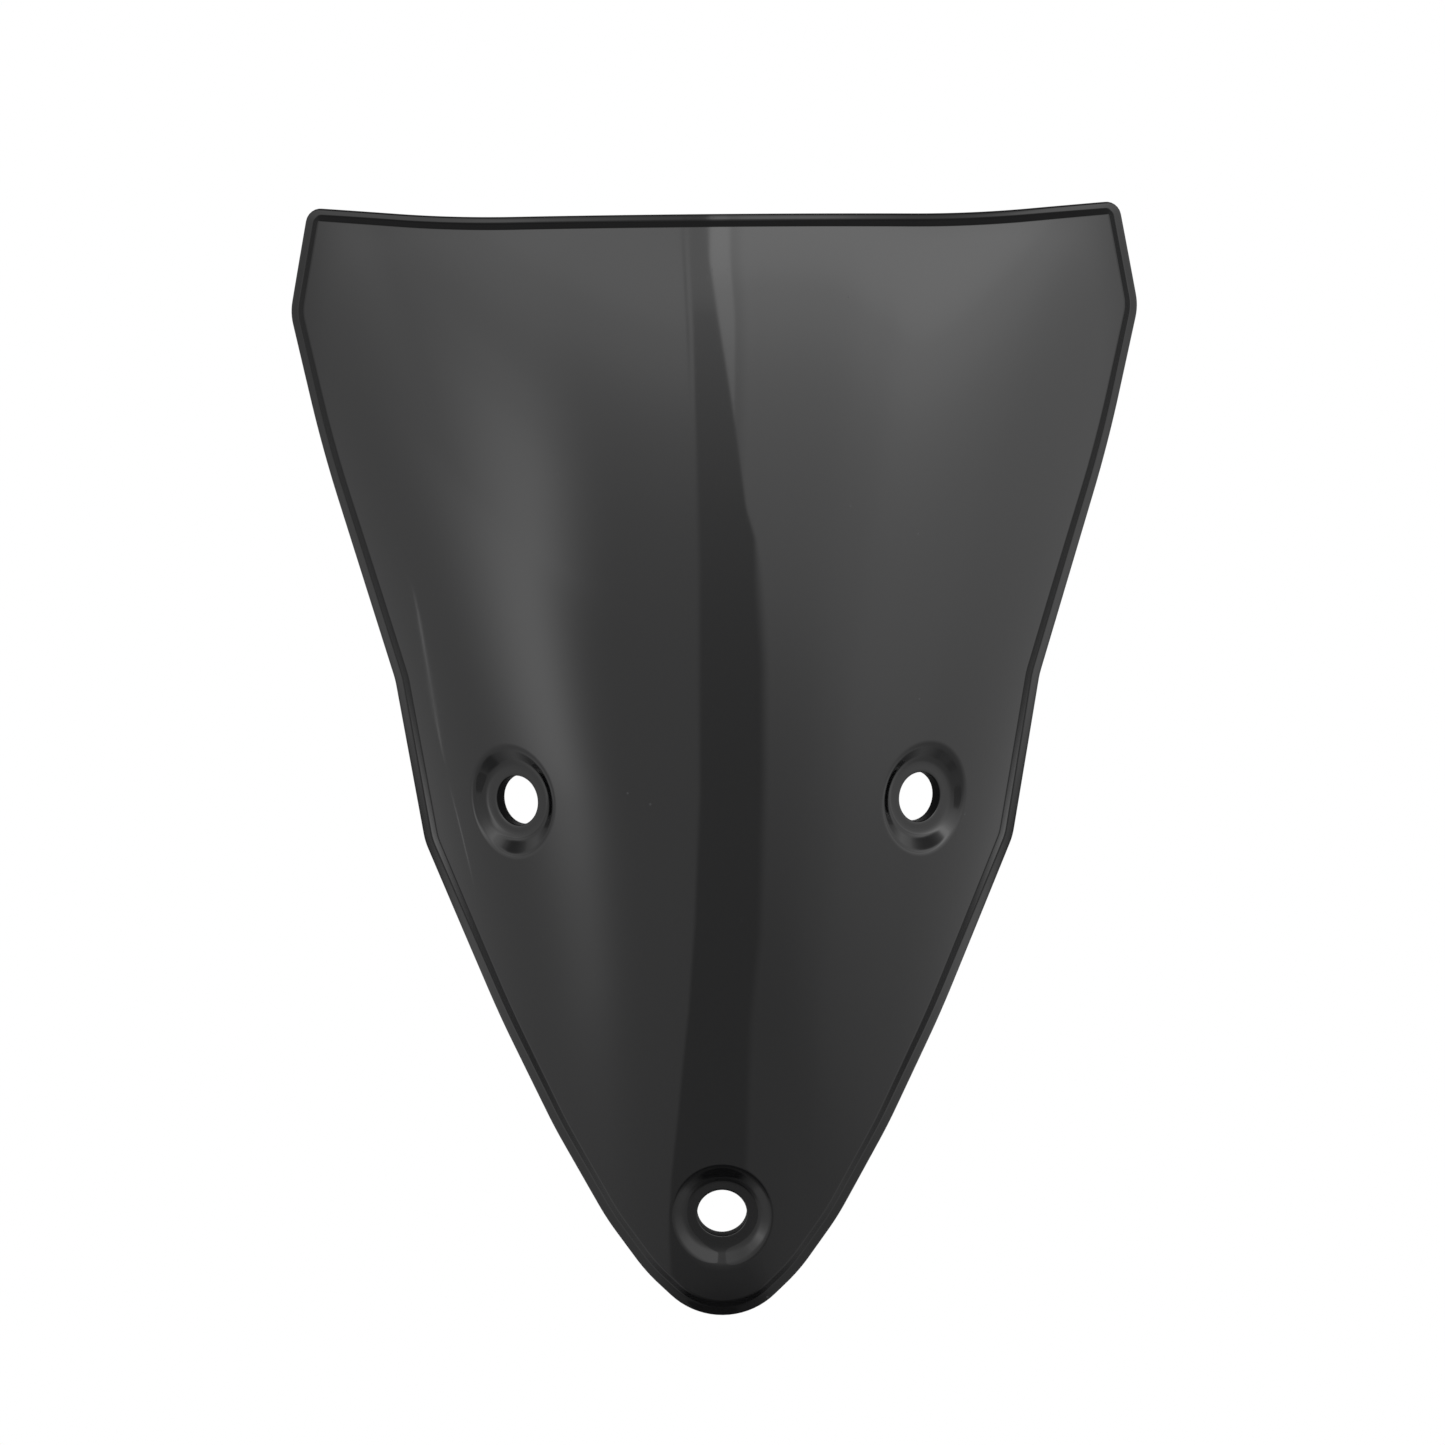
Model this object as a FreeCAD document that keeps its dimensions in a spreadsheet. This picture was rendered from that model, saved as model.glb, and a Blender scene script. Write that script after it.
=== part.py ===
import FreeCAD, Part
import math
import os
import Sketcher

# A moulded motorcycle windshield screen: one curved skin of tinted plastic with a lowered lip round
# its edge and three dished mounting holes. Millimetres, +Z up, the screen faces -Y and is symmetric
# about X = 0. The origin is the centre of the lower mounting hole, halfway through its wall.

SIZES = {
    # the skin, and its vertical sweep, an arc in the YZ plane
    "thickness": 3.0,
    "crown_radius": 323.0,
    "crown_height": 110.0,
    # the radius of each level cross-section, which grows with height squared, and how far round its
    # arc runs each way before the outline trims it
    "bend_radius": 62.0,
    "bend_growth": 0.0018,
    "bend_end": 66.0,
    # the lowered lip
    "lip_width": 2.4,
    "lip_step": 1.2,
    # the mounting holes, their dishes in front and the pads behind them
    "hole_radius": 5.25,
    "seat_radius": 8.0,
    "dish_radius": 11.9,
    "dish_depth": 2.3,
    "pad_radius": 12.5,
    "pad_draft": 1.0,
    "side_hole_x": 44.0,
    "side_hole_z": 87.3,
    # how far a cutting tool runs past the face it cuts, and the trimming blocks along Y
    "overshoot": 4.0,
    "block_depth": 200.0,
    "space_depth": 40.0,
}

# Heights of the lofted sections, from below the nose to above the top edge.
LEVELS = {
    "level_nose": -30.0,
    "level_hole": 0.0,
    "level_chin": 35.0,
    "level_waist": 70.0,
    "level_crown": 105.0,
    "level_shoulder": 140.0,
    "level_brow": 180.0,
    "level_top": 222.0,
}

# The right half of the outline seen from the front, as corners (X, Z, corner radius). The first
# corner ends the middle of the top edge, and the last is the nose, on the centre line.
OUTLINE = {
    "top_edge": (55.0, 211.6, 250.0),
    "top_corner": (86.8, 214.8, 3.2),
    "widest": (90.9, 192.3, 12.0),
    "side": (84.1, 162.8, 300.0),
    "waist_upper": (68.8, 113.4, 18.0),
    "waist_lower": (62.8, 78.9, 14.0),
    "taper_upper": (47.0, 41.7, 250.0),
    "taper_middle": (35.5, 17.9, 120.0),
    "taper_lower": (24.6, -1.6, 60.0),
    "nose_side": (16.3, -13.1, 40.0),
    "nose": (0.0, -28.6, 16.0),
}

# The same dimensions as expressions, for the sections to be bound to.
CROWN = (
    "sqrt((Sizes.crown_radius - Sizes.dish_depth - Sizes.thickness / 2)^2 - Sizes.crown_height^2)"
    " - sqrt(Sizes.crown_radius^2 - ({z} - Sizes.crown_height)^2)"
)
BEND = "(Sizes.bend_radius + Sizes.bend_growth * {z}^2)"

UP = FreeCAD.Vector(0, 0, 1)


def make_cells(doc):
    """The spreadsheet that holds every driving dimension under its own name."""
    cells = doc.addObject("Spreadsheet::Sheet", "Sizes")
    values = {**SIZES, **LEVELS}
    for name, (x, z, radius) in OUTLINE.items():
        values.update({f"{name}_x": x, f"{name}_z": z, f"{name}_round": radius})
    for row, (name, value) in enumerate(values.items(), start=1):
        cells.set(f"A{row}", str(value))
        cells.setAlias(f"A{row}", name)
    doc.recompute()
    return cells


def sweep_arm(cells):
    """From the sweep's centre to the origin, which is halfway through the lower hole's wall."""
    return cells.crown_radius - cells.dish_depth - cells.thickness / 2


def crown(cells, z):
    """Y of the front face on the centre line at a height."""
    reach = math.sqrt(sweep_arm(cells) ** 2 - cells.crown_height**2)
    return reach - math.sqrt(cells.crown_radius**2 - (z - cells.crown_height) ** 2)


def bend(cells, z):
    """The front face's radius at a height."""
    return cells.bend_radius + cells.bend_growth * z**2


def front_face(cells, x, z):
    """Y of the front face at (x, z)."""
    return crown(cells, z) + bend(cells, z) - math.sqrt(bend(cells, z) ** 2 - x**2)


def front_normal(cells, x, z):
    """The front face's outward unit normal at (x, z), by central differences."""
    step = 0.01
    slope_x = front_face(cells, x + step, z) - front_face(cells, x - step, z)
    slope_z = front_face(cells, x, z + step) - front_face(cells, x, z - step)
    return FreeCAD.Vector(slope_x, -2 * step, slope_z).normalize()


def mirrored(point):
    return FreeCAD.Vector(-point.x, point.y, point.z)


def attached_sketch(body, name, role):
    """A sketch on one of its own body's origin planes."""
    sketch = body.newObject("Sketcher::SketchObject", name)
    plane = next(p for p in body.Origin.OriginFeatures if p.Role == role)
    sketch.AttachmentSupport = [(plane, "")]
    sketch.MapMode = "FlatFace"
    return sketch


def bind(sketch, kind, where, value, text):
    """A dimension of a sketch, bound to the cells."""
    index = sketch.addConstraint(Sketcher.Constraint(kind, *where, value))
    sketch.setExpression(f"Constraints[{index}]", text)


def add_face_arc(sketch, cells, z, z_text, inset, inset_text):
    """The cross-section of a face that lies an inset behind the front face.
    Gives its left and right ends, as (edge, which end, point)."""
    end = math.radians(cells.bend_end)
    radius = bend(cells, z) - inset
    centre = FreeCAD.Vector(0, bend(cells, z), 0)
    right = centre + FreeCAD.Vector(math.sin(end), -math.cos(end), 0) * radius
    down = -math.pi / 2
    circle = Part.Circle(centre, UP, radius)
    arc = sketch.addGeometry(Part.ArcOfCircle(circle, down - end, down + end))
    sketch.addConstraint(Sketcher.Constraint("Symmetric", arc, 1, arc, 2, -2))
    bend_text = BEND.format(z=z_text)
    radius_text = f"({bend_text} - {inset_text})"
    bind(sketch, "DistanceY", (-1, 1, arc, 3), centre.y, bend_text)
    bind(sketch, "Radius", (arc,), radius, radius_text)
    bind(sketch, "DistanceX", (-1, 1, arc, 2), right.x, f"{radius_text} * sin(Sizes.bend_end)")
    return (arc, 1, mirrored(right)), (arc, 2, right)


def join(sketch, first, last):
    """A straight edge between two ends that the sketch already has."""
    edge = sketch.addGeometry(Part.LineSegment(first[2], last[2]))
    sketch.addConstraint(Sketcher.Constraint("Coincident", edge, 1, *first[:2]))
    sketch.addConstraint(Sketcher.Constraint("Coincident", edge, 2, *last[:2]))


def draw_skin(sketch, cells, z, z_text):
    """The skin's cross-section: its front face, its rear face and the two ends."""
    front = add_face_arc(sketch, cells, z, z_text, 0.0, "0")
    rear = add_face_arc(sketch, cells, z, z_text, cells.thickness, "Sizes.thickness")
    join(sketch, front[0], rear[0])
    join(sketch, front[1], rear[1])


def draw_front_space(sketch, cells, z, z_text):
    """The space in front of a face lowered by the lip's step."""
    lip = add_face_arc(sketch, cells, z, z_text, cells.lip_step, "Sizes.lip_step")
    corners = []
    for edge, end, point in lip:
        far = FreeCAD.Vector(point.x, -cells.space_depth, 0)
        side = sketch.addGeometry(Part.LineSegment(point, far))
        sketch.addConstraint(Sketcher.Constraint("Coincident", side, 1, edge, end))
        sketch.addConstraint(Sketcher.Constraint("Vertical", side))
        bind(sketch, "DistanceY", (side, 2, -1, 1), cells.space_depth, "Sizes.space_depth")
        corners.append((side, 2, far))
    join(sketch, *corners)


def lofted_body(doc, cells, name, draw):
    """A body lofted through one section at each level."""
    body = doc.addObject("PartDesign::Body", name)
    sections = []
    for level, z in LEVELS.items():
        z_text = f"Sizes.{level}"
        section = attached_sketch(body, f"{name}_{level}", "XY_Plane")
        section.setExpression("AttachmentOffset.Base.z", z_text)
        section.setExpression("AttachmentOffset.Base.y", CROWN.format(z=z_text))
        draw(section, cells, z, z_text)
        sections.append(section)
    doc.recompute()
    loft = body.newObject("PartDesign::AdditiveLoft", f"{name}_loft")
    loft.Profile = sections[0]
    loft.Sections = sections[1:]
    doc.recompute()
    return body


def rounding_arc(before, corner, after, radius):
    """The arc that rounds a corner: its start, middle and end."""
    back = (before - corner).normalize()
    ahead = (after - corner).normalize()
    half = back.getAngle(ahead) / 2
    reach = radius / math.tan(half)
    inward = (back + ahead).normalize()
    middle = corner + inward * (radius / math.sin(half) - radius)
    return corner + back * reach, middle, corner + ahead * reach


def outline_corners():
    """Every corner of the outline in order, as (name, side, point, radius)."""
    right = [(name, 1, x, z, radius) for name, (x, z, radius) in OUTLINE.items()]
    left = [(name, -1, -x, z, radius) for name, _, x, z, radius in reversed(right[:-1])]
    return [(name, side, FreeCAD.Vector(x, z, 0), radius) for name, side, x, z, radius in right + left]


def outline_body(doc, cells):
    """A block along Y with the screen's outline."""
    body = doc.addObject("PartDesign::Body", "outline_block")
    sketch = attached_sketch(body, "outline", "XZ_Plane")
    corners = outline_corners()
    count = len(corners)
    points = [corner[2] for corner in corners]
    arcs = [
        rounding_arc(points[i - 1], points[i], points[(i + 1) % count], corners[i][3])
        for i in range(count)
    ]
    # Edge 2i rounds corner i, and edge 2i + 1 is the straight edge after it.
    for i, (start, middle, end) in enumerate(arcs):
        sketch.addGeometry(Part.Arc(start, middle, end))
        sketch.addGeometry(Part.LineSegment(end, arcs[(i + 1) % count][0]))
    for i, (name, side, point, radius) in enumerate(corners):
        arc, ahead, behind = 2 * i, 2 * i + 1, (2 * i - 1) % (2 * count)
        # Part.Arc turns a clockwise arc round, so its ends are found by place.
        starts_here = sketch.getPoint(arc, 1).distanceToPoint(arcs[i][0]) < 1e-6
        first, last = (1, 2) if starts_here else (2, 1)
        mark = sketch.addGeometry(Part.Point(point), True)
        sketch.addConstraint(
            [
                Sketcher.Constraint("Tangent", behind, 2, arc, first),
                Sketcher.Constraint("Tangent", arc, last, ahead, 1),
                Sketcher.Constraint("PointOnObject", mark, 1, behind),
                Sketcher.Constraint("PointOnObject", mark, 1, ahead),
            ]
        )
        bind(sketch, "Radius", (arc,), radius, f"Sizes.{name}_round")
        bind(sketch, "DistanceX", (-1, 1, mark, 1), point.x, f"{side} * Sizes.{name}_x")
        bind(sketch, "DistanceY", (-1, 1, mark, 1), point.y, f"Sizes.{name}_z")
    doc.recompute()
    pad = body.newObject("PartDesign::Pad", "outline_pad")
    pad.Profile = sketch
    pad.SideType = "Symmetric"
    pad.setExpression("Length", "Sizes.block_depth")
    doc.recompute()
    return body, sketch


def combine(doc, kind, name, base, tool):
    """A boolean of two objects, which has to leave something and change something."""
    result = doc.addObject(f"Part::{kind}", name)
    result.Base = base
    result.Tool = tool
    doc.recompute()
    change = abs(result.Shape.Volume - base.Shape.Volume)
    if result.Shape.Volume < 1 or change < 1:
        raise RuntimeError(f"{name} left or changed nothing")
    return result


def field_block(doc, outline):
    """A block along Y with the outline of the raised field, inside the lip."""
    inner = doc.addObject("Part::Offset2D", "field_outline")
    inner.Source = outline
    inner.Mode = "Pipe"
    inner.Join = "Arc"
    inner.setExpression("Value", "-Sizes.lip_width")
    doc.recompute()
    block = doc.addObject("Part::Extrusion", "field_block")
    block.Base = inner
    block.DirMode = "Normal"
    block.Solid = True
    block.Symmetric = True
    block.setExpression("LengthFwd", "Sizes.block_depth")
    doc.recompute()
    return block


def place_along(tool, point, normal, height):
    """Puts a round tool's base at a height along a hole's axis, measured from the front face."""
    tool.Placement = FreeCAD.Placement(point + normal * height, FreeCAD.Rotation(UP, normal))


def hole_pad(doc, cells, name, point, normal):
    """The round pad behind a hole, which keeps the wall's thickness under the dish."""
    pad = doc.addObject("Part::Cone", f"{name}_pad")
    pad.setExpression("Radius1", "Sizes.pad_radius")
    pad.setExpression("Radius2", "Sizes.pad_radius + Sizes.pad_draft")
    pad.setExpression("Height", "Sizes.thickness")
    place_along(pad, point, normal, -cells.dish_depth - cells.thickness)
    return pad


def hole_dish(doc, cells, name, point, normal):
    """The cone that sinks a hole's flat seat below the front face."""
    dish = doc.addObject("Part::Cone", f"{name}_dish")
    dish.setExpression("Radius1", "Sizes.seat_radius")
    dish.setExpression(
        "Radius2",
        "Sizes.seat_radius + (Sizes.dish_radius - Sizes.seat_radius)"
        " * (Sizes.dish_depth + Sizes.overshoot) / Sizes.dish_depth",
    )
    dish.setExpression("Height", "Sizes.dish_depth + Sizes.overshoot")
    place_along(dish, point, normal, -cells.dish_depth)
    return dish


def hole_bore(doc, cells, name, point, normal):
    """The hole itself, through the seat and the pad."""
    bore = doc.addObject("Part::Cylinder", f"{name}_bore")
    bore.setExpression("Radius", "Sizes.hole_radius")
    bore.setExpression("Height", "Sizes.dish_depth + Sizes.thickness + 2 * Sizes.overshoot")
    place_along(bore, point, normal, -cells.dish_depth - cells.thickness - cells.overshoot)
    return bore


def hole_axes(cells):
    """{name: (point on the front face before it was dished, outward axis)} for the three holes."""
    tilt = math.asin(cells.crown_height / sweep_arm(cells))
    lower = FreeCAD.Vector(0, -math.cos(tilt), -math.sin(tilt))
    x, z = cells.side_hole_x, cells.side_hole_z
    point = FreeCAD.Vector(x, front_face(cells, x, z), z)
    normal = front_normal(cells, x, z)
    return {
        "lower": (lower * (cells.dish_depth + cells.thickness / 2), lower),
        "right": (point, normal),
        "left": (mirrored(point), mirrored(normal)),
    }


def add_hole(doc, cells, base, name, point, normal):
    """One mounting point: the pad is joined on, then the dish and the bore are cut."""
    padded = combine(doc, "Fuse", f"{name}_padded", base, hole_pad(doc, cells, name, point, normal))
    dished = combine(doc, "Cut", f"{name}_dished", padded, hole_dish(doc, cells, name, point, normal))
    return combine(doc, "Cut", f"{name}_bored", dished, hole_bore(doc, cells, name, point, normal))


def build_screen(doc, cells):
    skin = lofted_body(doc, cells, "skin", draw_skin)
    block, outline = outline_body(doc, cells)
    trimmed = combine(doc, "Common", "trimmed_skin", skin, block)
    front_space = lofted_body(doc, cells, "front_space", draw_front_space)
    lip_space = combine(doc, "Cut", "lip_space", front_space, field_block(doc, outline))
    screen = combine(doc, "Cut", "stepped_skin", trimmed, lip_space)
    for name, (point, normal) in hole_axes(cells).items():
        screen = add_hole(doc, cells, screen, name, point, normal)
    screen.Label = "screen"
    return screen


def check(doc, part):
    """Stops on a failed object or a shape that isn't one valid solid."""
    failed = [o.Name for o in doc.Objects if {"Invalid", "Error"} & set(o.State)]
    if failed:
        raise RuntimeError(f"failed objects: {failed}")
    shape = part.Shape
    if shape.isNull() or not shape.isValid() or len(shape.Solids) != 1:
        raise RuntimeError(f"{part.Label} isn't one valid solid")


doc = FreeCAD.newDocument("windshield_screen")
cells = make_cells(doc)
screen = build_screen(doc, cells)
check(doc, screen)
os.makedirs("parts", exist_ok=True)
screen.Shape.exportStep(f"parts/{screen.Label}.step")
for name, (point, normal) in hole_axes(cells).items():
    middle = point - normal * (cells.dish_depth + cells.thickness / 2)
    print(f"{name} hole: middle of its wall {middle}, axis {normal}")
box = screen.Shape.BoundBox
print(f"screen: {box.XLength:.1f} x {box.YLength:.1f} x {box.ZLength:.1f} mm, {box}")
print(f"volume {screen.Shape.Volume / 1000:.1f} cm3")
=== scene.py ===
import math

import bmesh
import bpy
import numpy as np
from mathutils.geometry import delaunay_2d_cdt
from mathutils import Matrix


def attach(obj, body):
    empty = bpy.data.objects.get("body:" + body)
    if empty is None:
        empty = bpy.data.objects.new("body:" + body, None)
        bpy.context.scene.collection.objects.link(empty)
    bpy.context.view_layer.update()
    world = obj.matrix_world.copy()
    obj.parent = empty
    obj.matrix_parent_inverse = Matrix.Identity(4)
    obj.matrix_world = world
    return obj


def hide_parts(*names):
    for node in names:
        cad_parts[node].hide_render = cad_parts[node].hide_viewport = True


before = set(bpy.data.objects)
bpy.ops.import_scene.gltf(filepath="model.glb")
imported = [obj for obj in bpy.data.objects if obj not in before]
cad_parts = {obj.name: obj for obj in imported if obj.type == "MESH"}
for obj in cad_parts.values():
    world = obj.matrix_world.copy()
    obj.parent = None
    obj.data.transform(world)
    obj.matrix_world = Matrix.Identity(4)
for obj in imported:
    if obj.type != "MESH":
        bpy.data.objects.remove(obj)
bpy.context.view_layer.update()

# A moulded motorcycle windshield screen in dark smoke plastic, under soft studio light. The screen
# is one mesh: the curved field, the stepped lip round it and three dished holes. Its shape is worked
# out in millimetres, in the frame of the CAD, and written to the mesh in metres.

MM = 0.001

# The skin, as in the CAD: a vertical sweep with level arcs that open with height squared.
THICKNESS = 3.0
CROWN_RADIUS = 323.0
CROWN_HEIGHT = 110.0
BEND_RADIUS = 62.0
BEND_GROWTH = 0.0018

# The right half of the outline, as corners (x, z, corner radius) from the top edge to the nose.
OUTLINE = [
    (55.0, 211.6, 250.0),
    (86.8, 214.8, 3.2),
    (90.9, 192.3, 12.0),
    (84.1, 162.8, 300.0),
    (68.8, 113.4, 18.0),
    (62.8, 78.9, 14.0),
    (47.0, 41.7, 250.0),
    (35.5, 17.9, 120.0),
    (24.6, -1.6, 60.0),
    (16.3, -13.1, 40.0),
    (0.0, -28.6, 16.0),
]

# The lip: how wide the lip and the wall behind it are together, how much narrower that band is near
# the top, how far the lip is lowered, where across the band its wall starts and ends, how much it
# falls away outwards, and the rounding of the outer edge.
BAND_WIDTH = 3.3
BAND_SHRINK = 0.1
BAND_SHRINK_Z = (120.0, 180.0)
LIP_STEP = 1.2
WALL_START, WALL_END = 0.50, 0.97
LIP_FALL = 0.07
EDGE_ROUND = 0.5
# How much of the wall's width is rounded at its outer and at its inner end.
WALL_ROUND_OUT, WALL_ROUND_IN = 0.06, 0.2
# Where the mesh has rings: shares of the way from the field out to the lip's foot, angles from the
# front's normal round the outer edge, and shares of the way back in behind the field's edge.
LIP_SHARES = [
    0, 0.03, 0.06, 0.09, 0.12, 0.16, 0.2, 0.24, 0.28, 0.32,
    0.36, 0.4, 0.44, 0.48, 0.53, 0.6, 0.72, 0.86, 1,
]
FRONT_ANGLES = 15, 30, 45, 60, 75, 90
REAR_ANGLES = 90, 110, 130, 155, 180
REAR_SHARES = 0.15, 0.4, 0.7, 1

# The holes, their dishes in front and the pads behind them.
HOLE_RADIUS = 5.25
SEAT_RADIUS = 8.0
DISH_RADIUS = 11.9
DISH_DEPTH = 2.3
PAD_RADIUS = 12.5
PAD_DRAFT = 1.0
SIDE_HOLE = (44.0, 87.3)
HOLE_EDGE_ROUND = 0.3
HOLE_REAR_ROUND = 0.5
# Within what height of each other two faces are rounded into one: the seat and the dish's wall, that
# wall and the field, the pad's face and its side, and that side and the rear.
SEAT_BLEND, MOUTH_BLEND = 0.5, 0.45
PAD_EDGE_BLEND, PAD_FOOT_BLEND = 0.5, 0.6
# Rings of the mesh round a hole: the outermost's radius, the points in each, the radii of those in
# front and of those behind, and the angles of those on the rounded edges of the hole.
PATCH_RADIUS = 15.0
PATCH_SEGMENTS = 112
DISH_RINGS = [14.4, 13.9, *np.arange(13.4, 7.2, -0.2), 6.6, 6.0]
PAD_RINGS = [7, 9.5, 11.6, *np.arange(12.1, 13.8, 0.12), 14.2]
HOLE_EDGE_ANGLES = 0, 20, 45, 70, 90
# Faces within this of a hole's radius are its wall.
BORE_REACH = 0.1

# How far the visual model keeps inside the CAD's curved faces, and how thick that leaves the skin.
CLEARANCE = 0.03
SKIN = THICKNESS - 2 * CLEARANCE

# Mesh spacing along the outline and across the field, and how clear of its loops the field's grid
# stays, as a share of the spacing.
OUTLINE_SPACING = 1.4
FIELD_SPACING = 2.2
LOOP_GAP = 0.55
# Rounds of the solves that find a point on the skin.
SOLVE_ROUNDS = 8


# --- the skin's surface -------------------------------------------------------------------------


def crown(z):
    """Y of the front face on the centre line at a height."""
    arm = CROWN_RADIUS - DISH_DEPTH - THICKNESS / 2
    reach = math.sqrt(arm**2 - CROWN_HEIGHT**2)
    return reach - np.sqrt(CROWN_RADIUS**2 - (z - CROWN_HEIGHT) ** 2)


def bend(z):
    """Radius of the front face's level arc at a height."""
    return BEND_RADIUS + BEND_GROWTH * z**2


def front_y(x, z):
    """Y of the front face."""
    return crown(z) + bend(z) - np.sqrt(bend(z) ** 2 - x**2) + CLEARANCE


def slopes(x, z):
    """How fast the front face's Y grows along X and along Z."""
    root = np.sqrt(bend(z) ** 2 - x**2)
    growth = 2 * BEND_GROWTH * z
    sweep = (z - CROWN_HEIGHT) / np.sqrt(CROWN_RADIUS**2 - (z - CROWN_HEIGHT) ** 2)
    return x / root, sweep + growth - growth * bend(z) / root


def unit(vectors):
    return vectors / np.linalg.norm(vectors, axis=-1, keepdims=True)


def front_normal(x, z):
    """Outward unit normal of the front face."""
    along_x, along_z = slopes(x, z)
    return unit(np.stack([along_x, -np.ones_like(along_x), along_z], axis=-1))


def front_point(x, z):
    return np.stack([x, front_y(x, z), z], axis=-1)


def rear_point(x, z):
    """The point of the rear face behind a point of the front face."""
    return front_point(x, z) - SKIN * front_normal(x, z)


def ease(t, start, end):
    """Rises from 0 to 1 as t does: straight, with rounded stretches of these lengths at its ends."""
    t = np.clip(t, 0, 1)
    pace = 1 / (1 - start / 2 - end / 2)
    rounded_start = pace * t**2 / (2 * start)
    rounded_end = 1 - pace * (1 - t) ** 2 / (2 * end)
    straight = pace * (t - start / 2)
    return np.where(t < start, rounded_start, np.where(t > 1 - end, rounded_end, straight))


def soft_min(a, b, blend):
    """The lower of two heights, rounded where they are within a blend of each other."""
    near = np.maximum(blend - np.abs(a - b), 0) / blend
    return np.minimum(a, b) - near**2 * blend / 4


def soft_max(a, b, blend):
    return -soft_min(-a, -b, blend)


# --- the outline and the rim --------------------------------------------------------------------


def outline_loop():
    """Points (x, z) round the outline, clockwise from the front, and their outward directions."""
    right = [np.array(corner) for corner in OUTLINE]
    left = [corner * (-1, 1, 1) for corner in reversed(right[:-1])]
    corners = right + left
    arcs = []
    for i, corner in enumerate(corners):
        place = corner[:2]
        back = unit(corners[i - 1][:2] - place)
        ahead = unit(corners[(i + 1) % len(corners)][:2] - place)
        half = math.acos(np.clip(back @ ahead, -1, 1)) / 2
        reach = corner[2] / math.tan(half)
        centre = place + unit(back + ahead) * corner[2] / math.sin(half)
        start, end = place + back * reach, place + ahead * reach
        arcs.append((centre, start, end, corner[2], math.pi - 2 * half))
    points, outward = [], []
    for i, (centre, start, end, radius, turn) in enumerate(arcs):
        steps = max(6, math.ceil(radius * turn / OUTLINE_SPACING))
        from_centre = unit(start - centre)
        square = np.array([-from_centre[1], from_centre[0]])
        clockwise = -np.sign(square @ (end - start))
        for k in range(steps + 1):
            angle = -clockwise * turn * k / steps
            arm = math.cos(angle) * from_centre + math.sin(angle) * square
            points.append(centre + arm * radius)
            outward.append(arm * clockwise)
        following = arcs[(i + 1) % len(arcs)][1]
        steps = math.ceil(np.linalg.norm(following - end) / OUTLINE_SPACING)
        for k in range(1, steps):
            points.append(end + (following - end) * k / steps)
            outward.append(outward[-1])
    return np.array(points), np.array(outward)


def band_width(z):
    """Width of the lip and its wall together, seen from the front."""
    low, high = BAND_SHRINK_Z
    return BAND_WIDTH * (1 - BAND_SHRINK * ease((z - low) / (high - low), 0.5, 0.5))


def lip_point(place, across):
    """A point of the lip or of its wall, at a share of the way across the band."""
    x, z = place[:, 0], place[:, 1]
    climb = (across - WALL_START) / (WALL_END - WALL_START)
    lowered = LIP_STEP * (1 - ease(climb, WALL_ROUND_OUT, WALL_ROUND_IN))
    lowered += LIP_FALL * np.maximum(WALL_START - across, 0) * band_width(z)
    point = front_point(x, z)
    point[:, 1] += lowered / -front_normal(x, z)[:, 1]
    return point


def rim_rings():
    """Rings of points from the field's front edge over the lip and the outer edge to its rear edge.
    Gives them with the loop, in (x, z), where the field starts."""
    outline, outward = outline_loop()
    outline = outline - outward * CLEARANCE
    band = band_width(outline[:, 1])
    inner = outline - outward * band[:, None]
    flat_outward = np.stack([outward[:, 0], np.zeros(len(outward)), outward[:, 1]], axis=-1)
    # The edge's rounding touches the outline where it faces outwards, so the lip stops short of it.
    facing = (front_normal(*outline.T) * flat_outward).sum(axis=1)
    foot_inset = EDGE_ROUND * (1 - facing)
    rings = []
    for share in LIP_SHARES:
        inset = band + (foot_inset - band) * share
        place = outline - outward * inset[:, None]
        rings.append(lip_point(place, inset / band))
    front = front_normal(*(outline - outward * foot_inset[:, None]).T)
    # The outer edge runs back along Y, so the rear face ends behind a point beyond the outline.
    rear_foot = outline
    for _ in range(SOLVE_ROUNDS):
        past = (SKIN - EDGE_ROUND) * front_normal(*rear_foot.T)[:, [0, 2]]
        rear_foot = outline - outward * EDGE_ROUND + past
    rear = front_normal(*rear_foot.T)
    front_centre = rings[-1] - EDGE_ROUND * front
    rear_centre = rear_point(*rear_foot.T) + EDGE_ROUND * rear
    front_arc = front_centre, front, FRONT_ANGLES
    rear_arc = rear_centre, rear, REAR_ANGLES
    for centre, normal, angles in (front_arc, rear_arc):
        aside = unit(flat_outward - normal * (flat_outward * normal).sum(axis=1)[:, None])
        for angle in np.radians(angles):
            rings.append(centre + EDGE_ROUND * (math.cos(angle) * normal + math.sin(angle) * aside))
    for share in REAR_SHARES:
        place = rear_foot + (inner - rear_foot) * share
        rings.append(rear_point(*place.T))
    return np.array(rings), inner


# --- the holes ----------------------------------------------------------------------------------


def hole_axes():
    """(point on the front face before it was dished, outward axis) of the three holes."""
    tilt = math.asin(CROWN_HEIGHT / (CROWN_RADIUS - DISH_DEPTH - THICKNESS / 2))
    lower = np.array([0, -math.cos(tilt), -math.sin(tilt)])
    x, z = (np.array(value) for value in SIDE_HOLE)
    point, normal = front_point(x, z), front_normal(x, z)
    mirror = np.array([-1, 1, 1])
    return [
        (lower * (DISH_DEPTH + THICKNESS / 2), lower),
        (point, normal),
        (point * mirror, normal * mirror),
    ]


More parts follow.
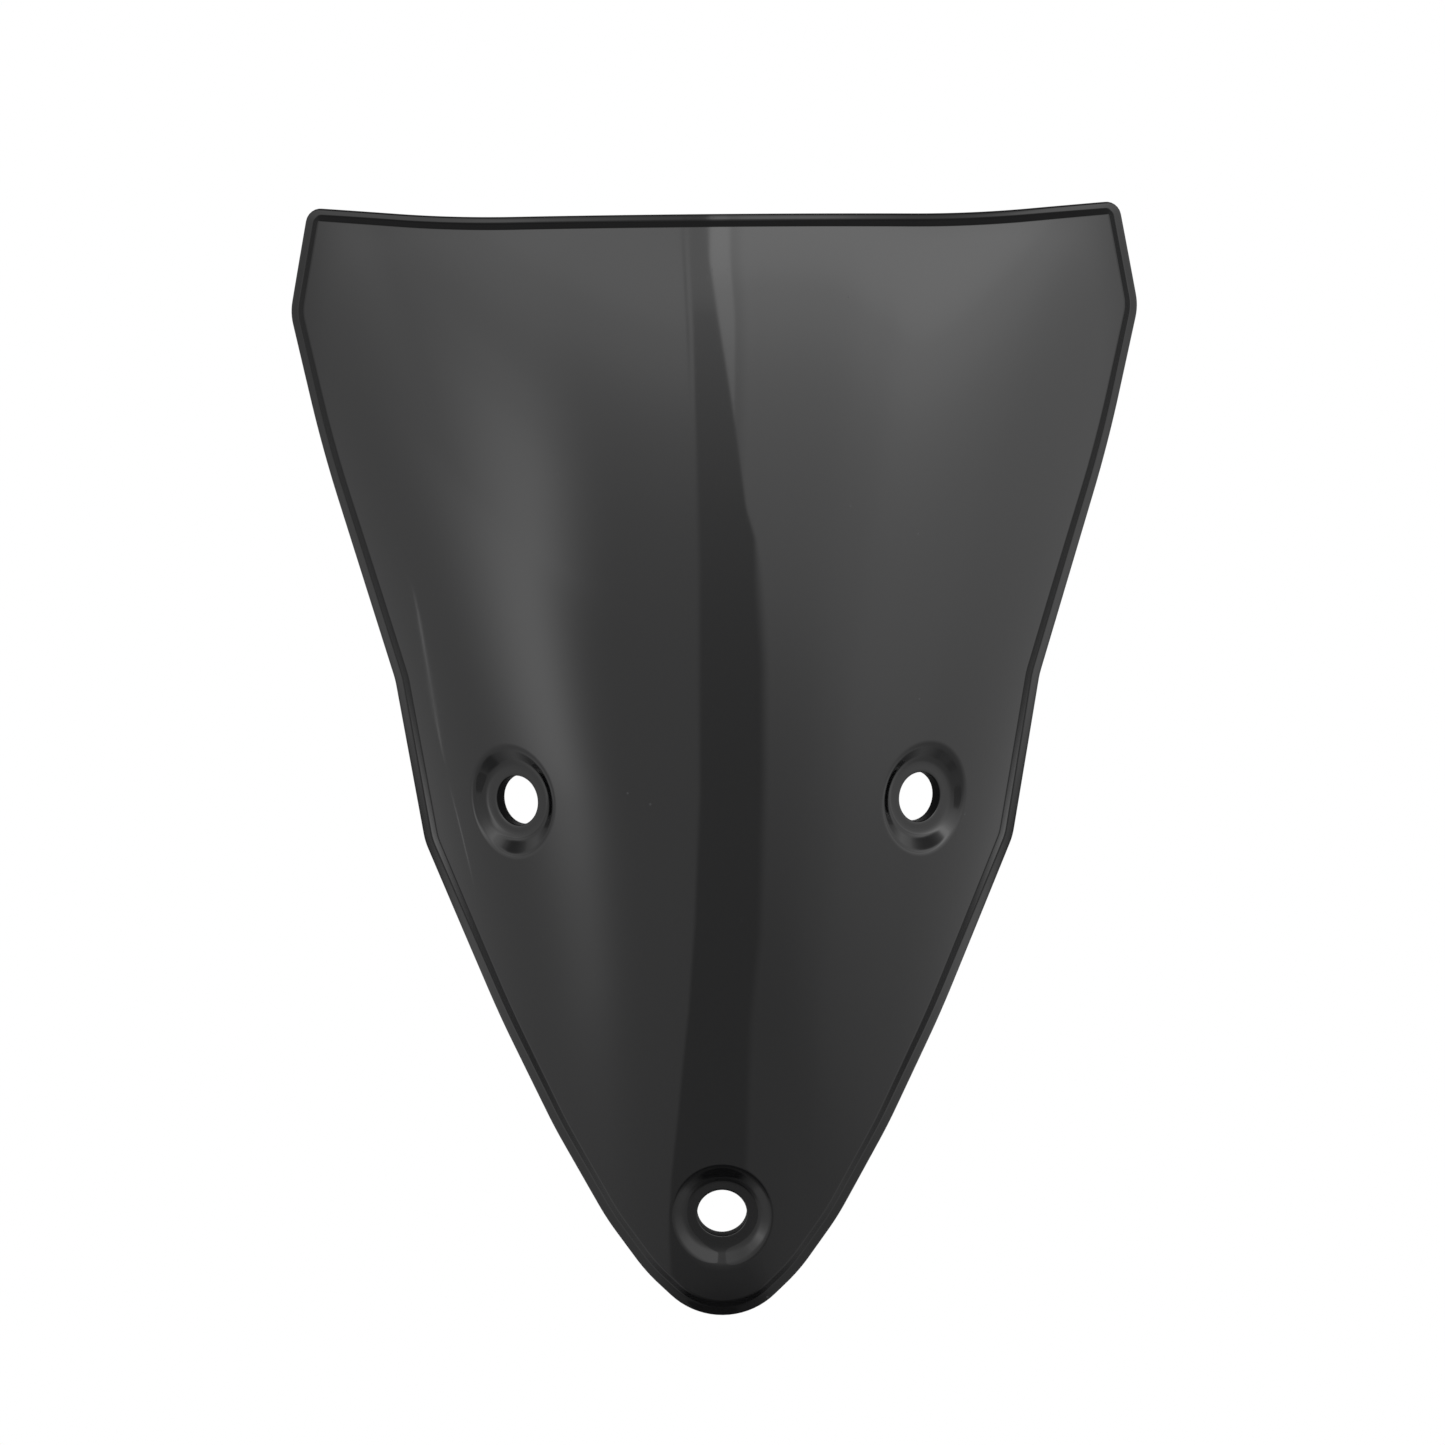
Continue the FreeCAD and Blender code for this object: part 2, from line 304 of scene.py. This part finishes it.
def hole_rings(point, axis):
    """Rings of points from the field's front edge round a hole, through it, to its rear edge.
    Gives them with the loop, in (x, z), where the field starts."""
    across = unit(np.cross(axis, [0, 0, 1]))
    up = np.cross(across, axis)
    turn = np.arange(PATCH_SEGMENTS) * 2 * math.pi / PATCH_SEGMENTS
    spoke = np.cos(turn)[:, None] * across + np.sin(turn)[:, None] * up

    def skin_height(radius):
        """Height of the front face above the hole's flat, and the skin's depth along the axis."""
        height = np.zeros(PATCH_SEGMENTS)
        for _ in range(SOLVE_ROUNDS):
            place = point + radius * spoke + height[:, None] * axis
            along_x, along_z = slopes(place[:, 0], place[:, 2])
            miss = place[:, 1] - front_y(place[:, 0], place[:, 2])
            height -= miss / (axis[1] - along_x * axis[0] - along_z * axis[2])
        place = point + radius * spoke + height[:, None] * axis
        return height, THICKNESS / (front_normal(place[:, 0], place[:, 2]) @ axis)

    def ring(radius, height):
        return point + radius * spoke + np.broadcast_to(height, PATCH_SEGMENTS)[:, None] * axis

    def front_height(radius):
        wall = (radius - SEAT_RADIUS) * DISH_DEPTH / (DISH_RADIUS - SEAT_RADIUS) - DISH_DEPTH
        dish = soft_max(-DISH_DEPTH, wall, SEAT_BLEND)
        return soft_min(dish, skin_height(radius)[0], MOUTH_BLEND)

    def rear_height(radius):
        height, depth = skin_height(radius)
        pad = -DISH_DEPTH - THICKNESS
        side = pad + (radius - PAD_RADIUS) * THICKNESS / PAD_DRAFT
        return soft_min(height - depth, soft_max(pad, side, PAD_EDGE_BLEND), PAD_FOOT_BLEND)

    rings = [ring(PATCH_RADIUS, skin_height(PATCH_RADIUS)[0])]
    loop = rings[0][:, [0, 2]]
    for radius in DISH_RINGS:
        rings.append(ring(radius, front_height(radius)))
    seat, pad = -DISH_DEPTH, -DISH_DEPTH - THICKNESS
    for angle in np.radians(HOLE_EDGE_ANGLES):
        radius = HOLE_RADIUS + HOLE_EDGE_ROUND * (1 - math.sin(angle))
        rings.append(ring(radius, seat - HOLE_EDGE_ROUND * (1 - math.cos(angle))))
    for angle in np.radians(HOLE_EDGE_ANGLES[::-1]):
        radius = HOLE_RADIUS + HOLE_REAR_ROUND * (1 - math.sin(angle))
        rings.append(ring(radius, pad + HOLE_REAR_ROUND * (1 - math.cos(angle))))
    for radius in PAD_RINGS:
        rings.append(ring(radius, rear_height(radius)))
    rings.append(rear_point(*loop.T))
    return np.array(rings), loop


# --- the mesh -----------------------------------------------------------------------------------


def inside(points, loop):
    """Which points are inside a closed loop, by counting its edges to their right."""
    ends = np.roll(loop, -1, axis=0)
    x, z = points[:, 0][:, None], points[:, 1][:, None]
    crosses = (loop[:, 1] > z) != (ends[:, 1] > z)
    rise = np.where(ends[:, 1] == loop[:, 1], 1, ends[:, 1] - loop[:, 1])
    where = loop[:, 0] + (z - loop[:, 1]) * (ends[:, 0] - loop[:, 0]) / rise
    return (crosses & (x < where)).sum(axis=1) % 2 == 1


def in_field(points, loops):
    """Which points are inside the first loop and outside the others."""
    found = inside(points, loops[0])
    for hole in loops[1:]:
        found &= ~inside(points, hole)
    return found


def field_points(loops):
    """A triangular grid of points inside the field, clear of its loops."""
    low, high = loops[0].min(axis=0), loops[0].max(axis=0)
    rows = np.arange(low[1], high[1], FIELD_SPACING * math.sqrt(3) / 2)
    half = math.ceil(high[0] / FIELD_SPACING)
    grid = []
    for i, z in enumerate(rows):
        xs = (np.arange(-half, half + 1) + 0.5 * (i % 2)) * FIELD_SPACING
        grid.append(np.stack([xs, np.full(len(xs), z)], axis=-1))
    grid = np.concatenate(grid)
    edge = np.concatenate(loops)
    gap = np.array([np.linalg.norm(edge - point, axis=1).min() for point in grid])
    return grid[(gap > LOOP_GAP * FIELD_SPACING) & in_field(grid, loops)]


def field_triangles(loops, inner):
    """Triangles that fill the field, as indices into its loops and then its inner points."""
    places = np.concatenate([*loops, inner])
    edges, start = [], 0
    for loop in loops:
        count = len(loop)
        edges += [(start + k, start + (k + 1) % count) for k in range(count)]
        start += count
    found = delaunay_2d_cdt([tuple(place) for place in places], edges, [], 0, 1e-6)
    source = [ids[0] for ids in found[3]]
    triangles = np.array([[source[v] for v in triangle] for triangle in found[2]])
    return triangles[in_field(places[triangles].mean(axis=1), loops)]


def ring_normals(rings):
    """Normals across a grid of closed rings, from the directions to each point's neighbours."""
    steps = unit(np.diff(rings, axis=0))
    along = np.concatenate([steps[:1], unit(steps[1:] + steps[:-1]), steps[-1:]])
    ahead = unit(np.roll(rings, -1, axis=1) - rings)
    around = ahead + np.roll(ahead, 1, axis=1)
    return unit(np.cross(along, around))


def screen_mesh():
    """The whole screen as one closed mesh with smooth normals."""
    rim, rim_loop = rim_rings()
    holes = [hole_rings(*axis) for axis in hole_axes()]
    loops = [rim_loop, *(loop for _, loop in holes)]
    inner = field_points(loops)
    triangles = field_triangles(loops, inner)
    points, normals, faces, front_ids, rear_ids = [], [], [], [], []
    start = 0
    for rings, loop in [(rim, rim_loop), *holes]:
        count, around = rings.shape[:2]
        ring_normal = ring_normals(rings)
        ring_normal[0] = front_normal(*loop.T)
        ring_normal[-1] = -front_normal(*loop.T)
        ids = start + np.arange(count * around).reshape(count, around)
        following = np.roll(ids, -1, axis=1)
        quads = np.stack([ids[:-1], following[:-1], following[1:], ids[1:]], axis=-1)
        faces += quads.reshape(-1, 4).tolist()
        points.append(rings.reshape(-1, 3))
        normals.append(ring_normal.reshape(-1, 3))
        front_ids.append(ids[0])
        rear_ids.append(ids[-1])
        start += count * around
    inner_ids = start + np.arange(len(inner))
    points += [front_point(*inner.T), rear_point(*inner.T)]
    normals += [front_normal(*inner.T), -front_normal(*inner.T)]
    front_ids = np.concatenate([*front_ids, inner_ids])
    rear_ids = np.concatenate([*rear_ids, inner_ids + len(inner)])
    faces += front_ids[triangles].tolist() + rear_ids[triangles[:, ::-1]].tolist()
    return np.concatenate(points) * MM, np.concatenate(normals), faces


def make_screen():
    points, normals, faces = screen_mesh()
    mesh = bpy.data.meshes.new("smoked_screen")
    mesh.from_pydata(points.tolist(), [], faces)
    work = bmesh.new()
    work.from_mesh(mesh)
    bmesh.ops.recalc_face_normals(work, faces=work.faces)
    work.to_mesh(mesh)
    work.free()
    mesh.shade_smooth()
    facing = np.array([vertex.normal for vertex in mesh.vertices])
    normals *= np.sign((normals * facing).sum(axis=1))[:, None]
    mesh.normals_split_custom_set_from_vertices(normals.tolist())
    for material in (smoke_plastic(), matt_bore()):
        mesh.materials.append(material)
    centres = np.array([polygon.center for polygon in mesh.polygons]) / MM
    for point, axis in hole_axes():
        arms = centres - point
        radius = np.linalg.norm(arms - (arms @ axis)[:, None] * axis, axis=1)
        for i in np.flatnonzero(radius < HOLE_RADIUS + BORE_REACH):
            mesh.polygons[i].material_index = 1
    screen = bpy.data.objects.new("smoked_screen", mesh)
    bpy.context.scene.collection.objects.link(screen)
    return screen


# --- shader nodes -------------------------------------------------------------------------------


class Nodes:
    """Adds nodes to one shader tree. An input is given as a number, a colour or another output."""

    def __init__(self, tree):
        self.tree = tree
        tree.nodes.clear()

    def add(self, kind, inputs, **settings):
        node = self.tree.nodes.new(kind)
        for name, value in settings.items():
            setattr(node, name, value)
        for name, value in inputs.items():
            if isinstance(value, bpy.types.NodeSocket):
                self.tree.links.new(value, node.inputs[name])
            else:
                node.inputs[name].default_value = value
        return node

    def math(self, operation, a, b=0.0):
        return self.add("ShaderNodeMath", {0: a, 1: b}, operation=operation).outputs[0]

    def rise(self, value, low, high, smooth=True):
        """0 where value is under low, 1 where it is over high, and a step between, smooth or
        straight. With low above high it falls instead."""
        kind = "SMOOTHSTEP" if smooth else "LINEAR"
        inputs = {"Value": value, "From Min": low, "From Max": high}
        return self.add("ShaderNodeMapRange", inputs, interpolation_type=kind, clamp=True).outputs[0]

    def mix(self, share, a, b):
        """a where share is 0, b where it is 1."""
        return self.add("ShaderNodeMix", {0: share, 2: a, 3: b}, data_type="FLOAT").outputs[0]

    def curve(self, value, points, straight=False):
        """A curve through points (value, result), level beyond the first and the last."""
        low, high = points[0][0], points[-1][0]
        top = max(result for _, result in points)
        bottom = min(result for _, result in points)
        share = self.rise(value, low, high, smooth=False)
        node = self.add("ShaderNodeFloatCurve", {"Factor": 1.0, "Value": share})
        line = node.mapping.curves[0]
        for i, (at, result) in enumerate(points):
            place = (at - low) / (high - low), (result - bottom) / (top - bottom)
            if i in (0, len(points) - 1):
                line.points[0 if i == 0 else -1].location = place
            else:
                line.points.new(*place)
        for point in line.points:
            point.handle_type = "VECTOR" if straight else "AUTO_CLAMPED"
        node.mapping.update()
        return self.scaled(node.outputs[0], top - bottom, bottom)

    def scaled(self, value, by, plus=0.0):
        """The value times one number, plus another."""
        return self.math("ADD", self.math("MULTIPLY", value, by), plus)


# --- the material -------------------------------------------------------------------------------


def smoke_plastic():
    """Polished dark smoke plastic: faint moulding waves, hairline scratches, wipe marks and dust."""
    material = bpy.data.materials.new("smoke_plastic")
    material.use_nodes = True
    nodes = Nodes(material.node_tree)
    place = nodes.add("ShaderNodeTexCoord", {}).outputs["Object"]

    def noise(scale, detail=2.0, stretch=(1, 1, 1), turn=(0, 0, 0)):
        inputs = {"Vector": place, "Scale": stretch, "Rotation": turn}
        mapped = nodes.add("ShaderNodeMapping", inputs).outputs[0]
        inputs = {"Vector": mapped, "Scale": scale, "Detail": detail}
        return nodes.add("ShaderNodeTexNoise", inputs).outputs["Fac"]

    wipes = noise(9.0, 3.0, (1, 1, 3.5), (0.3, 0.2, 0.5))
    haze = nodes.scaled(nodes.rise(wipes, 0.42, 0.72), 0.03)
    steep = noise(40, 1.0, (60, 60, 1), (0.2, 0.1, 0.35))
    level = noise(30, 1.0, (1, 50, 45), (0.5, 0.3, 0))
    scratches = nodes.scaled(nodes.rise(nodes.math("ADD", steep, level), 1.25, 1.4), 0.05)

    # Dust: a speck at the middle of a few of the cells.
    inputs = {"Vector": place, "Scale": 210.0, "Randomness": 1.0}
    cells = nodes.add("ShaderNodeTexVoronoi", inputs).outputs
    speck = nodes.math("SUBTRACT", 1.0, nodes.rise(cells["Distance"], 0.03, 0.075))
    draw = nodes.add("ShaderNodeSeparateColor", {"Color": cells["Color"]}).outputs[0]
    dust = nodes.math("MULTIPLY", speck, nodes.rise(draw, 0.955, 0.96))

    roughness = nodes.math("ADD", haze, scratches)
    roughness = nodes.math("ADD", roughness, nodes.scaled(dust, 0.35, 0.035))
    tone = nodes.scaled(noise(14.0, 3.0), 0.0016, 0.0024)
    tone = nodes.math("ADD", tone, nodes.scaled(dust, 0.02))
    inputs = {0: tone, 1: tone, 2: nodes.scaled(tone, 1.08)}
    colour = nodes.add("ShaderNodeCombineColor", inputs).outputs[0]
    inputs = {"Strength": 1.0, "Distance": 0.00002, "Height": noise(26.0, 1.0)}
    bump = nodes.add("ShaderNodeBump", inputs).outputs[0]
    shader = nodes.add(
        "ShaderNodeBsdfPrincipled",
        {"Base Color": colour, "Roughness": roughness, "IOR": 1.5, "Normal": bump},
    )
    nodes.add("ShaderNodeOutputMaterial", {"Surface": shader.outputs[0]})
    return material


def matt_bore():
    """The dull, finely grained walls of the holes."""
    material = bpy.data.materials.new("matt_bore")
    material.use_nodes = True
    nodes = Nodes(material.node_tree)
    place = nodes.add("ShaderNodeTexCoord", {}).outputs["Object"]
    inputs = {"Vector": place, "Scale": 900.0, "Detail": 3.0}
    grain = nodes.add("ShaderNodeTexNoise", inputs).outputs["Fac"]
    inputs = {"Strength": 0.4, "Distance": 0.00005, "Height": grain}
    bump = nodes.add("ShaderNodeBump", inputs).outputs[0]
    shader = nodes.add(
        "ShaderNodeBsdfPrincipled",
        {
            "Base Color": (0.004, 0.004, 0.0043, 1),
            "Roughness": nodes.scaled(grain, 0.2, 0.5),
            "Specular IOR Level": 0.08,
            "Normal": bump,
        },
    )
    nodes.add("ShaderNodeOutputMaterial", {"Surface": shader.outputs[0]})
    return material


# --- the studio ---------------------------------------------------------------------------------

# What the gloss of the screen mirrors, by direction seen from it: azimuth 0 is straight ahead of the
# screen, growing to the camera's right, and elevation is above the horizon, both in degrees. Two
# tall softboxes stand left and right of the camera with a darker gap between them. First, how bright
# each of these is by elevation.
RIGHT_BRIGHTNESS = [
    (-90, 0.1), (-75, 0.1), (-60, 0.15), (-52, 0.3), (-46, 0.52), (-36, 0.58), (-25, 0.62),
    (-15, 0.78), (-5, 1.0), (6, 1.4), (17, 1.8), (28, 2.7), (36, 3.3), (41, 2.4), (47, 1.1),
    (56, 0.6), (90, 0.45),
]
LEFT_BRIGHTNESS = [
    (-90, 0.1), (-75, 0.1), (-60, 0.2), (-52, 0.36), (-46, 0.6), (-36, 0.68), (-20, 0.76),
    (-5, 0.83), (6, 0.92), (17, 1.2), (28, 1.95), (36, 2.3), (41, 1.6), (47, 0.9), (56, 0.5),
    (90, 0.4),
]
GAP_BRIGHTNESS = [
    (-90, 0.1), (-75, 0.08), (-60, 0.06), (-52, 0.12), (-46, 0.37), (-36, 0.41), (-18, 0.45),
    (2, 0.56), (12, 0.7), (18, 0.86), (24, 1.08), (30, 1.4), (36, 1.9), (41, 1.4), (47, 0.8),
    (56, 0.5), (90, 0.4),
]
# By azimuth to its side: how much higher up a panel's brightness is read, so that the panel leans.
RIGHT_LEAN = [
    (10, -4), (20, -2.5), (35, 4), (50, 10), (62, 10.5), (72, 9.5), (90, 9), (110, 9),
]
LEFT_LEAN = [(30, 0), (50, 1.5), (62, 4), (76, 9.5), (90, 9), (110, 9)]
# By elevation: the azimuths of the gap's two edges, and how soft they are.
LEFT_EDGE = [
    (-90, -26), (-42, -25), (-38, -23), (-33, -18.5), (-25, -12.5), (-18, -9), (-8, -6),
    (10, -4.4), (29, -4.5), (36, -5), (90, -5),
]
RIGHT_EDGE = [
    (-90, 11), (-38, 11), (-26, 12), (-19, 15), (-8, 14.8), (2, 13.4), (12, 9.8),
    (14.5, 7.4), (30, 0.8), (34.8, -0.9), (90, -0.9),
]
LEFT_SOFTNESS = [(-90, 1.0), (10, 1.0), (27, 0.3), (90, 0.3)]
RIGHT_SOFTNESS = [(-90, 2.0), (6, 2.0), (15, 0.4), (90, 0.4)]
# A dim line in the left panel beside the gap: how far out from the gap's edge it lies, its half
# width outside and inside its soft sides, where it sets in and how much dimmer it is.
GAP_LINE_OUT = 1.15
GAP_LINE_SIDES = 0.45, 0.15
GAP_LINE_START = 22, 30
GAP_LINE_LOSS = 0.22
# The upper end of the right panel reaches across the gap in a wedge. Where the wedge sets in, where
# it stops by elevation, how soft its end is and how much brighter it is than the rest.
WEDGE_START = 13, 18
WEDGE_EDGE = [(-90, 4.4), (28, 4.4), (37, 3.3), (90, 3.3)]
WEDGE_SOFTNESS = 0.3
WEDGE_GAIN = 0.14
# The dim line beside the wedge: where it ends beyond the wedge, and how much dimmer it is.
WEDGE_LINE_END = 0.5, 3.3
WEDGE_LINE_LOSS = 0.12
# The left panel's brighter stripe: its middle, its brightness and its width on its far and near
# sides.
STRIPE_MIDDLE = [(-90, -50), (-12, -50), (-4, -53), (6, -48), (17, -43), (29, -40), (90, -40)]
STRIPE_BRIGHTNESS = [
    (-90, 0), (-34, 0.05), (-20, 0.4), (-10, 0.95), (-3, 1.4), (8, 1.25), (17, 0.65),
    (29, 0.1), (90, 0),
]
STRIPE_WIDTH = 15.0, 10.5
# Two thin strip lights in line beyond the left panel, by elevation, and their soft sides.
STRIP_AZIMUTH = [
    (-14, -97), (-12.4, -98.2), (-11.4, -98.6), (-10.5, -97.6), (-8.6, -93.3), (-6.9, -90),
    (-5, -87),
]
STRIP_BRIGHTNESS = [
    (-14, 0), (-13, 0), (-12.4, 0.8), (-11.6, 0.8), (-11.2, 0), (-10.8, 0), (-10.2, 1.3),
    (-7.2, 1.3), (-5.8, 0), (-5, 0),
]
STRIP_SIDES = 0.1, 0.4
# By azimuth to either side: how high the panels reach. Above this they lose one share of their
# brightness far from the middle, and higher up another share everywhere.
PANEL_TOP = [(0, 38.5), (37, 29.5), (69, 14), (83, 3), (95, -5), (110, -12)]
SIDE_LOSS, SIDE_LOSS_ABOVE, SIDE_LOSS_FROM = 0.4, (0.5, 6), (20, 60)
TOP_LOSS, TOP_LOSS_ABOVE = 0.25, (10, 30)
# Both panels end beside the screen. Behind it there is one more, with its lower and upper edges and
# its sides here, over a faint glow.
PANELS_END = 108, 132
BACK_FOOT, BACK_TOP, BACK_SIDES = (-40, -10), (36, 50), (140, 160)
BACK_GLOW, BACK_GLOW_START = 0.12, (-50, -20)
NADIR_GLOW = 0.02


def left_panel(nodes, azimuth, elevation, from_gap):
    """The brightness of the left softbox, its stripe and the strip lights beyond it."""
    lean = nodes.curve(nodes.math("ABSOLUTE", azimuth), LEFT_LEAN)
    panel = nodes.curve(nodes.math("ADD", elevation, lean), LEFT_BRIGHTNESS)

    offset = nodes.math("SUBTRACT", azimuth, nodes.curve(elevation, STRIPE_MIDDLE))
    offset = nodes.math("DIVIDE", offset, nodes.mix(nodes.rise(offset, -1, 1), *STRIPE_WIDTH))
    stripe = nodes.math("EXPONENT", nodes.scaled(nodes.math("MULTIPLY", offset, offset), -1.0))
    stripe = nodes.math("MULTIPLY", stripe, nodes.curve(elevation, STRIPE_BRIGHTNESS))
    panel = nodes.math("ADD", panel, stripe)

    middle = nodes.curve(elevation, STRIP_AZIMUTH, straight=True)
    offset = nodes.math("ABSOLUTE", nodes.math("SUBTRACT", azimuth, middle))
    strip = nodes.math("SUBTRACT", 1.0, nodes.rise(offset, *STRIP_SIDES))
    brightness = nodes.curve(elevation, STRIP_BRIGHTNESS, straight=True)
    panel = nodes.math("ADD", panel, nodes.math("MULTIPLY", strip, brightness))

    from_line = nodes.math("ABSOLUTE", nodes.math("ADD", from_gap, GAP_LINE_OUT))
    line = nodes.rise(from_line, *GAP_LINE_SIDES)
    line = nodes.math("MULTIPLY", line, nodes.rise(elevation, *GAP_LINE_START))
    return nodes.math("MULTIPLY", panel, nodes.scaled(line, -GAP_LINE_LOSS, 1.0))


def right_panel(nodes, azimuth, elevation):
    """The brightness of the right softbox, with its wedge and the dim line beside that."""
    lean = nodes.curve(nodes.math("ABSOLUTE", azimuth), RIGHT_LEAN)
    panel = nodes.curve(nodes.math("ADD", elevation, lean), RIGHT_BRIGHTNESS)

    from_wedge = nodes.math("SUBTRACT", azimuth, nodes.curve(elevation, WEDGE_EDGE))
    past_wedge = nodes.rise(from_wedge, -WEDGE_SOFTNESS, WEDGE_SOFTNESS)
    high = nodes.rise(elevation, *WEDGE_START)
    wedge = nodes.math("MULTIPLY", nodes.math("SUBTRACT", 1.0, past_wedge), high)
    line = nodes.math("SUBTRACT", past_wedge, nodes.rise(from_wedge, *WEDGE_LINE_END))
    line = nodes.scaled(nodes.math("MULTIPLY", line, high), WEDGE_LINE_LOSS)
    tint = nodes.math("SUBTRACT", nodes.scaled(wedge, WEDGE_GAIN, 1.0), line)
    return nodes.math("MULTIPLY", panel, tint)


def front_glow(nodes, azimuth, elevation):
    """The brightness of both softboxes and of the gap between them, dimmer above their tops."""
    from_left = nodes.math("SUBTRACT", azimuth, nodes.curve(elevation, LEFT_EDGE, straight=True))
    from_right = nodes.math("SUBTRACT", azimuth, nodes.curve(elevation, RIGHT_EDGE, straight=True))
    left = left_panel(nodes, azimuth, elevation, from_left)
    right = right_panel(nodes, azimuth, elevation)
    gap = nodes.curve(elevation, GAP_BRIGHTNESS)
    from_left = nodes.math("DIVIDE", from_left, nodes.curve(elevation, LEFT_SOFTNESS))
    from_right = nodes.math("DIVIDE", from_right, nodes.curve(elevation, RIGHT_SOFTNESS))
    glow = nodes.mix(nodes.rise(from_left, -1.0, 1.0), left, gap)
    glow = nodes.mix(nodes.rise(from_right, -1.0, 1.0), glow, right)

    aside = nodes.math("ABSOLUTE", azimuth)
    above = nodes.math("SUBTRACT", elevation, nodes.curve(aside, PANEL_TOP))
    loss = nodes.rise(above, *SIDE_LOSS_ABOVE)
    loss = nodes.math("MULTIPLY", loss, nodes.rise(aside, *SIDE_LOSS_FROM))
    high_loss = nodes.scaled(nodes.rise(above, *TOP_LOSS_ABOVE), TOP_LOSS)
    loss = nodes.math("ADD", nodes.scaled(loss, SIDE_LOSS), high_loss)
    return nodes.math("MULTIPLY", glow, nodes.scaled(loss, -1.0, 1.0))


def back_glow(nodes, azimuth, elevation):
    """The brightness of the panel behind the screen, over a faint glow."""
    panel = nodes.rise(elevation, *BACK_FOOT)
    panel = nodes.math("SUBTRACT", panel, nodes.rise(elevation, *BACK_TOP))
    aside = nodes.math("ABSOLUTE", azimuth)
    panel = nodes.math("MULTIPLY", panel, nodes.rise(aside, *BACK_SIDES))
    glow = nodes.scaled(nodes.rise(elevation, *BACK_GLOW_START), BACK_GLOW, NADIR_GLOW)
    return nodes.math("ADD", panel, glow)


def make_world():
    """White behind the object, even light on matt surfaces, and the softboxes in its gloss."""
    world = bpy.data.worlds.new("studio")
    world.use_nodes = True
    nodes = Nodes(world.node_tree)
    direction = nodes.add("ShaderNodeTexCoord", {}).outputs["Generated"]
    x, y, z = nodes.add("ShaderNodeSeparateXYZ", {0: direction}).outputs
    azimuth = nodes.math("ARCTAN2", x, nodes.math("MULTIPLY", y, -1.0))
    azimuth = nodes.scaled(azimuth, math.degrees(1))
    elevation = nodes.scaled(nodes.math("ARCSINE", z), math.degrees(1))

    front = front_glow(nodes, azimuth, elevation)
    back = back_glow(nodes, azimuth, elevation)
    past_panels = nodes.rise(nodes.math("ABSOLUTE", azimuth), *PANELS_END)
    glow = nodes.mix(past_panels, front, back)

    path = nodes.add("ShaderNodeLightPath", {}).outputs
    strength = nodes.mix(path["Is Glossy Ray"], 1.0, glow)
    background = nodes.add("ShaderNodeBackground", {"Color": (1, 1, 1, 1), "Strength": strength})
    nodes.add("ShaderNodeOutputWorld", {"Surface": background.outputs[0]})
    bpy.context.scene.world = world


# A round pale floor below the screen, too low and too small for the camera to see.
FLOOR_Z = -0.1
FLOOR_RADIUS = 0.95


def make_floor():
    work = bmesh.new()
    bmesh.ops.create_circle(work, cap_ends=True, segments=128, radius=FLOOR_RADIUS)
    mesh = bpy.data.meshes.new("studio_floor")
    work.to_mesh(mesh)
    work.free()
    floor = bpy.data.objects.new("studio_floor", mesh)
    floor.location.z = FLOOR_Z
    floor.visible_glossy = False
    material = bpy.data.materials.new("pale_floor")
    material.use_nodes = True
    nodes = Nodes(material.node_tree)
    shader = nodes.add("ShaderNodeBsdfDiffuse", {"Color": (0.9, 0.9, 0.9, 1)})
    nodes.add("ShaderNodeOutputMaterial", {"Surface": shader.outputs[0]})
    mesh.materials.append(material)
    bpy.context.scene.collection.objects.link(floor)


# The camera looks straight at the screen's front, square to it but for a slight roll.
CAMERA_DISTANCE = 3.0
VIEW_WIDTH = 0.307
AIM_X, AIM_Z = 0.0010, 0.1037
ROLL = 0.5
SENSOR_WIDTH = 36.0


def make_camera():
    data = bpy.data.cameras.new("camera")
    data.sensor_width = SENSOR_WIDTH
    data.lens = SENSOR_WIDTH * CAMERA_DISTANCE / VIEW_WIDTH
    camera = bpy.data.objects.new("camera", data)
    camera.location = (AIM_X, -CAMERA_DISTANCE, AIM_Z)
    camera.rotation_euler = (math.radians(90), math.radians(ROLL), 0)
    bpy.context.scene.collection.objects.link(camera)
    bpy.context.scene.camera = camera


screen = make_screen()
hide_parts("screen")
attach(screen, "root")
make_world()
make_floor()
make_camera()
bpy.context.scene.view_settings.view_transform = "Standard"
